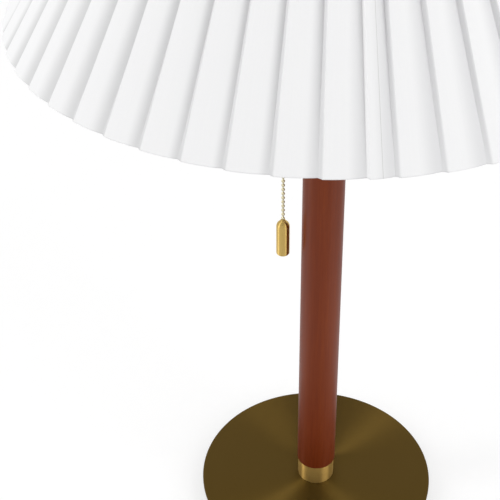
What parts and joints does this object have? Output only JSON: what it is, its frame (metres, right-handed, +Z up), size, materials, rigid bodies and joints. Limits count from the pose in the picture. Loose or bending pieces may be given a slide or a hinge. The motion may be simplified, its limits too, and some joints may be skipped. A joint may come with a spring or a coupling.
{
  "type": "table lamp",
  "caption": "Table lamp with slim round brass base, straight turned wooden column, pull-chain lampholder, wire harp and wide pleated paper cone shade.",
  "frame": {"origin": "centre of the underside of the felt under the base, on the column axis", "axes": "+Z up along the column, -Y towards the front seen in the picture, +X to its right; the pull chain hangs at -X"},
  "size_m": [0.3528, 0.3528, 0.5571],
  "materials": {
    "satin_brass": "satin, circular brushed",
    "polished_brass": "polished",
    "stained_wood": "red-brown stain under satin lacquer",
    "white_paper": "matte",
    "white_wire": "white enamel",
    "iron": "painted black",
    "felt": "matte felt",
    "black_plastic": "matte",
    "steel": "zinc plated",
    "card": "matte",
    "brown_moulding": "matte moulded",
    "white_glass": "white coated",
    "cap_aluminium": "plain",
    "black_glass": "glossy vitrified insulator"
  },
  "bodies": {
    "stand": {"felt_pad": "felt", "base_weight": "iron", "base_plate": "satin_brass", "cord_bushing": "black_plastic", "base_washer": "steel", "base_nut": "steel", "foot_collar": "polished_brass", "wood_stem": "stained_wood", "top_ferrule": "polished_brass", "threaded_tube": "steel", "harp_saddle": "polished_brass", "saddle_nut": "steel", "harp": "polished_brass", "harp_stud": "polished_brass", "socket_cap": "polished_brass", "socket_shell": "polished_brass", "insulating_liner": "card", "chain_spout": "polished_brass", "switch_body": "brown_moulding", "terminal_screws": "polished_brass", "screw_shell": "polished_brass", "centre_contact": "polished_brass"},
    "shade": {"pleated_shade": "white_paper", "shade_bottom_ring": "white_wire", "shade_top_ring": "white_wire", "shade_spider": "white_wire"},
    "finial": {"finial": "polished_brass"},
    "bulb": {"bulb_glass": "white_glass", "bulb_cap": "cap_aluminium", "bulb_insulator": "black_glass", "bulb_contact": "steel"},
    "pull": {"chain_lead": "polished_brass"},
    "sway": {"chain_knuckle": "polished_brass"},
    "hanging_chain": {"ball_chain": "polished_brass", "pull_pendant": "polished_brass"},
    "lever": {"switch_lever": "steel"},
    "front_sleeve": {"harp_sleeve_front": "polished_brass"},
    "rear_sleeve": {"harp_sleeve_rear": "polished_brass"}
  },
  "joints": [
    {"name": "shade_turn", "type": "hinge", "parent": "stand", "child": "shade", "pos_m": [0, 0, 0.53757], "axis": [0, 0, 1], "continuous": true},
    {"name": "finial_turn", "type": "hinge", "parent": "stand", "child": "finial", "pos_m": [0, 0, 0.54], "axis": [0, 0, 1], "continuous": true},
    {"name": "bulb_turn", "type": "hinge", "parent": "stand", "child": "bulb", "pos_m": [0, 0, 0.4], "axis": [0, 0, 1], "continuous": true},
    {"name": "chain_pull", "type": "slide", "parent": "stand", "child": "pull", "axis": [0, 0, -1], "range_m": [0, 0.008], "stiffness_N_per_m": 600, "springref_m": -0.004},
    {"name": "chain_sway", "type": "hinge", "parent": "pull", "child": "sway", "pos_m": [-0.0247, 0, 0.36917], "axis": [0, 1, 0], "range_deg": [-2, 45]},
    {"name": "chain_swing", "type": "hinge", "parent": "sway", "child": "hanging_chain", "pos_m": [-0.0247, 0, 0.36917], "axis": [1, 0, 0], "range_deg": [-60, 60]},
    {"name": "lever_turn", "type": "hinge", "parent": "stand", "child": "lever", "pos_m": [0, 0, 0.3742], "axis": [0, -1, 0], "range_deg": [0, 55.1]},
    {"name": "front_sleeve_lift", "type": "slide", "parent": "stand", "child": "front_sleeve", "axis": [0, 0, 1], "range_m": [0, 0.012]},
    {"name": "rear_sleeve_lift", "type": "slide", "parent": "stand", "child": "rear_sleeve", "axis": [0, 0, 1], "range_m": [0, 0.012]}
  ],
  "couplings": [
    {"joint": "lever_turn", "follows": "chain_pull", "rad_per_m": 120}
  ]
}
